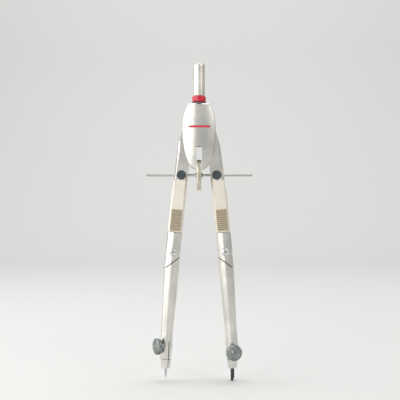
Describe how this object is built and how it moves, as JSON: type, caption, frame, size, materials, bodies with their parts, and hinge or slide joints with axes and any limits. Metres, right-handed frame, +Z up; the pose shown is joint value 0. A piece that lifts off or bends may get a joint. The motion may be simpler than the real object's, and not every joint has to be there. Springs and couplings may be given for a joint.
{
  "type": "drawing compass",
  "caption": "Quick-set drawing compass with a domed geared head, centre wheel on a threaded spindle, release levers, folding knees and clamped needle and lead points",
  "frame": {"origin": "middle of the finger grip, on its axis", "axes": "+Z up along the grip, +X towards the lead leg, -Y towards the front cover and the release levers"},
  "size_m": [0.0574, 0.0172, 0.1699],
  "materials": {
    "satin_chrome": "satin pearl-chrome plate",
    "grip_chrome": "satin pearl-chrome plate over ring grooves",
    "satin_lever": "warm off-white satin",
    "polished_steel": "bright turned steel",
    "spindle_steel": "bright threaded steel",
    "wheel_nickel": "satin nickel-plated brass",
    "thumb_steel": "knurled steel",
    "yoke_zinc": "dark satin die casting",
    "stud_steel": "plain steel",
    "spring_steel": "spring wire",
    "trunnion_brass": "turned brass",
    "red_ring": "glossy crimson",
    "slate_plastic": "dark slate",
    "nylon": "natural nylon",
    "needle_steel": "hardened polished steel",
    "graphite": "graphite lead"
  },
  "bodies": {
    "head": {"grip_handle": "grip_chrome", "grip_collar_ring": "red_ring", "handle_stud": "stud_steel", "head_yoke": "yoke_zinc", "front_cover": "satin_chrome", "back_cover": "satin_chrome", "head_screws": "polished_steel", "left_pivot_screw": "polished_steel", "right_pivot_screw": "polished_steel", "friction_washers": "nylon"},
    "hub": {"wheel_collars": "wheel_nickel"},
    "wheel": {"centre_wheel": "wheel_nickel", "spindle": "spindle_steel"},
    "needle_point": {"needle": "needle_steel"},
    "lead_stick": {"lead": "graphite"},
    "left_leg": {"left_upper_leg": "satin_chrome", "left_lever_pin": "polished_steel", "left_lever_spring": "spring_steel", "left_knee_screw": "polished_steel", "left_knee_washers": "nylon"},
    "left_lever": {"left_release_lever": "satin_lever"},
    "left_trunnion": {"left_trunnion_nut": "trunnion_brass", "left_trunnion_clip": "polished_steel"},
    "left_plunger": {"left_release_plunger": "slate_plastic"},
    "left_shin": {"left_lower_leg": "satin_chrome", "left_needle_holder": "satin_chrome"},
    "left_thumb": {"left_thumb_screw": "thumb_steel"},
    "right_leg": {"right_upper_leg": "satin_chrome", "right_lever_pin": "polished_steel", "right_lever_spring": "spring_steel", "right_knee_screw": "polished_steel", "right_knee_washers": "nylon"},
    "right_lever": {"right_release_lever": "satin_lever"},
    "right_trunnion": {"right_trunnion_nut": "trunnion_brass", "right_trunnion_clip": "polished_steel"},
    "right_plunger": {"right_release_plunger": "slate_plastic"},
    "right_shin": {"right_lower_leg": "satin_chrome", "right_lead_sleeve": "satin_chrome"},
    "right_thumb": {"right_thumb_screw": "thumb_steel"}
  },
  "joints": [
    {"name": "left_leg_swing", "type": "hinge", "parent": "head", "child": "left_leg", "pos_m": [-0.0035, 0, -0.022], "axis": [0, 1, 0], "range_deg": [-6.3, 29.5]},
    {"name": "right_leg_swing", "type": "hinge", "parent": "head", "child": "right_leg", "pos_m": [0.0035, 0, -0.022], "axis": [0, 1, 0], "range_deg": [-29.5, 6.3]},
    {"name": "left_trunnion_turn", "type": "hinge", "parent": "left_leg", "child": "left_trunnion", "pos_m": [-0.00945, 0, -0.051], "axis": [0, 1, 0], "range_deg": [-29.5, 6.3]},
    {"name": "right_trunnion_turn", "type": "hinge", "parent": "right_leg", "child": "right_trunnion", "pos_m": [0.00945, 0, -0.051], "axis": [0, 1, 0], "range_deg": [-6.3, 29.5]},
    {"name": "spindle_feed", "type": "slide", "parent": "left_trunnion", "child": "hub", "axis": [1, 0, 0], "range_m": [-0.00296, 0.01381]},
    {"name": "wheel_turn", "type": "hinge", "parent": "hub", "child": "wheel", "pos_m": [0, 0, -0.051], "axis": [1, 0, 0], "continuous": true},
    {"name": "left_lever_press", "type": "hinge", "parent": "left_leg", "child": "left_lever", "pos_m": [-0.01144, -0.0006, -0.06638], "axis": [0.9951, 0, -0.0993], "range_deg": [0, 4], "stiffness_Nm_per_rad": 0.06, "springref_deg": -5.73, "deforming": ["left_lever_spring"]},
    {"name": "left_plunger_lift", "type": "slide", "parent": "left_trunnion", "child": "left_plunger", "axis": [0, -1, 0], "range_m": [0, 0.0012]},
    {"name": "left_knee_fold", "type": "hinge", "parent": "left_leg", "child": "left_shin", "pos_m": [-0.014, 0, -0.092], "axis": [0, -1, 0], "range_deg": [0, 25]},
    {"name": "left_thumb_screw_turn", "type": "hinge", "parent": "left_shin", "child": "left_thumb", "pos_m": [-0.01669, -0.00185, -0.14232], "axis": [-0.8828, -0.4695, 0.0154], "range_deg": [0, 540]},
    {"name": "right_lever_press", "type": "hinge", "parent": "right_leg", "child": "right_lever", "pos_m": [0.01144, -0.0006, -0.06638], "axis": [0.9951, 0, 0.0993], "range_deg": [0, 4], "stiffness_Nm_per_rad": 0.06, "springref_deg": -5.73, "deforming": ["right_lever_spring"]},
    {"name": "right_plunger_lift", "type": "slide", "parent": "right_trunnion", "child": "right_plunger", "axis": [0, -1, 0], "range_m": [0, 0.0012]},
    {"name": "right_knee_fold", "type": "hinge", "parent": "right_leg", "child": "right_shin", "pos_m": [0.014, 0, -0.092], "axis": [0, 1, 0], "range_deg": [0, 25]},
    {"name": "right_thumb_screw_turn", "type": "hinge", "parent": "right_shin", "child": "right_thumb", "pos_m": [0.01978, -0.00044, -0.14516], "axis": [-0.2079, -0.9781, -0.0036], "range_deg": [0, 540]},
    {"name": "needle_slide", "type": "slide", "parent": "left_shin", "child": "needle_point", "axis": [-0.0175, 0, -0.9998], "range_m": [-0.003, 0.004]},
    {"name": "lead_slide", "type": "slide", "parent": "right_shin", "child": "lead_stick", "axis": [0.0175, 0, -0.9998], "range_m": [-0.005, 0.003]}
  ],
  "couplings": [
    {"joint": "right_leg_swing", "follows": "left_leg_swing", "ratio": -1},
    {"joint": "left_trunnion_turn", "follows": "left_leg_swing", "ratio": -1},
    {"joint": "right_trunnion_turn", "follows": "left_leg_swing", "ratio": 1},
    {"joint": "spindle_feed", "follows": "left_leg_swing", "m_per_rad": 0.0268},
    {"joint": "left_plunger_lift", "follows": "left_lever_press", "m_per_rad": 0.0164},
    {"joint": "right_plunger_lift", "follows": "right_lever_press", "m_per_rad": 0.0164}
  ]
}
